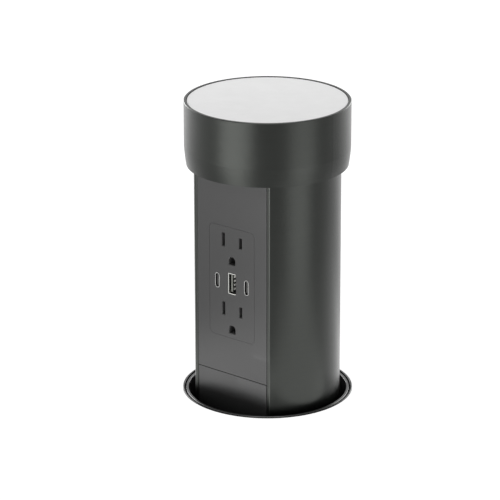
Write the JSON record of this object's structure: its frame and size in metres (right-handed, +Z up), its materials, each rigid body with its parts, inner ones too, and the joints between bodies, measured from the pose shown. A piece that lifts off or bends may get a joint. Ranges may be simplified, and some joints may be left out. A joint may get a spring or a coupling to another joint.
{
  "type": "pop up desk socket",
  "caption": "Round power tower lifted by a gas spring out of a sleeve under a counter, with mains outlets and charging ports on its flat face and an insert in its head.",
  "frame": {"origin": "centre of the collar in the plane of the countertop", "axes": "+Z up along the tower's travel, the socket face looks to -Y, drawn raised"},
  "size_m": [0.134, 0.134, 0.4552],
  "materials": {
    "dark_anodised": "satin, anodised dark grey",
    "bright_ring": "turned and satin anodised",
    "collar_paint": "powder coated, fine texture",
    "sleeve_aluminium": "mill finish",
    "insert_white": "honed pale stone",
    "black_plastic": "moulded, matt",
    "face_plastic": "moulded, matt grey",
    "slide_plastic": "natural acetal",
    "tongue_plastic": "moulded",
    "black_rubber": "matt rubber",
    "zinc_steel": "zinc plated",
    "spring_steel": "spring wire",
    "ground_rod": "hard chromed",
    "cylinder_black": "black lacquer",
    "brass": "stamped",
    "port_metal": "bright nickel",
    "port_contacts": "gold plated",
    "board_green": "solder mask",
    "component_grey": "ferrite and can"
  },
  "bodies": {
    "housing": {"mounting_collar": "collar_paint", "collar_seal": "black_rubber", "wiper_ring": "black_rubber", "collar_screws": "zinc_steel", "housing_tube": "sleeve_aluminium", "base_cap": "black_plastic", "base_screws": "zinc_steel", "gas_spring_rod": "ground_rod", "gas_spring_piston": "sleeve_aluminium", "guide_rod": "ground_rod", "rod_screws": "zinc_steel", "latch_bracket": "zinc_steel", "latch_pin": "zinc_steel", "latch_spring": "spring_steel", "latch_screws": "zinc_steel", "gland_body": "black_plastic", "gland_locknut": "black_plastic", "gland_nut": "black_plastic", "gland_seal": "black_rubber"},
    "tower": {"head_shell": "dark_anodised", "insert_disc": "insert_white", "insert_pad": "black_rubber", "head_screws": "zinc_steel", "cylinder_bolt": "zinc_steel", "column": "dark_anodised", "face_plate": "dark_anodised", "lower_cover": "dark_anodised", "guide_cup": "bright_ring", "guide_bands": "slide_plastic", "cup_screws": "zinc_steel", "guide_bush": "slide_plastic", "lead_grommet": "black_rubber", "latch_striker": "zinc_steel", "striker_screws": "zinc_steel", "gas_spring_cylinder": "cylinder_black", "gas_spring_gland": "brass", "receptacle_face": "face_plastic", "receptacle_body": "black_plastic", "receptacle_back": "black_plastic", "receptacle_strap": "zinc_steel", "strap_screws": "zinc_steel", "receptacle_screws": "zinc_steel", "hot_contacts": "brass", "neutral_contacts": "brass", "ground_contacts": "brass", "terminal_screws": "brass", "usb_a_shell": "port_metal", "usb_a_tongue": "tongue_plastic", "usb_a_contacts": "port_contacts", "usb_c_shells": "port_metal", "usb_c_tongues": "black_plastic", "charger_board": "board_green", "charger_parts": "component_grey", "shutter_spring_upper": "spring_steel", "shutter_spring_lower": "spring_steel"},
    "hook": {"latch_hook": "zinc_steel"},
    "upper_shutter": {"shutter_upper": "black_plastic"},
    "lower_shutter": {"shutter_lower": "black_plastic"}
  },
  "joints": [
    {"name": "tower_lift", "type": "slide", "parent": "housing", "child": "tower", "axis": [0, 0, 1], "range_m": [-0.1772, 0], "stiffness_N_per_m": 45, "springref_m": 0.6},
    {"name": "hook_swing", "type": "hinge", "parent": "housing", "child": "hook", "pos_m": [0.02, 0, -0.2492], "axis": [1, 0, 0], "range_deg": [0, 16], "stiffness_Nm_per_rad": 0.01, "springref_deg": -17.19, "deforming": ["latch_spring"]},
    {"name": "upper_shutter_slide", "type": "slide", "parent": "tower", "child": "upper_shutter", "axis": [1, 0, 0], "range_m": [0, 0.0032], "stiffness_N_per_m": 100, "springref_m": -0.003, "deforming": ["shutter_spring_upper"]},
    {"name": "lower_shutter_slide", "type": "slide", "parent": "tower", "child": "lower_shutter", "axis": [1, 0, 0], "range_m": [0, 0.0032], "stiffness_N_per_m": 100, "springref_m": -0.003, "deforming": ["shutter_spring_lower"]}
  ]
}
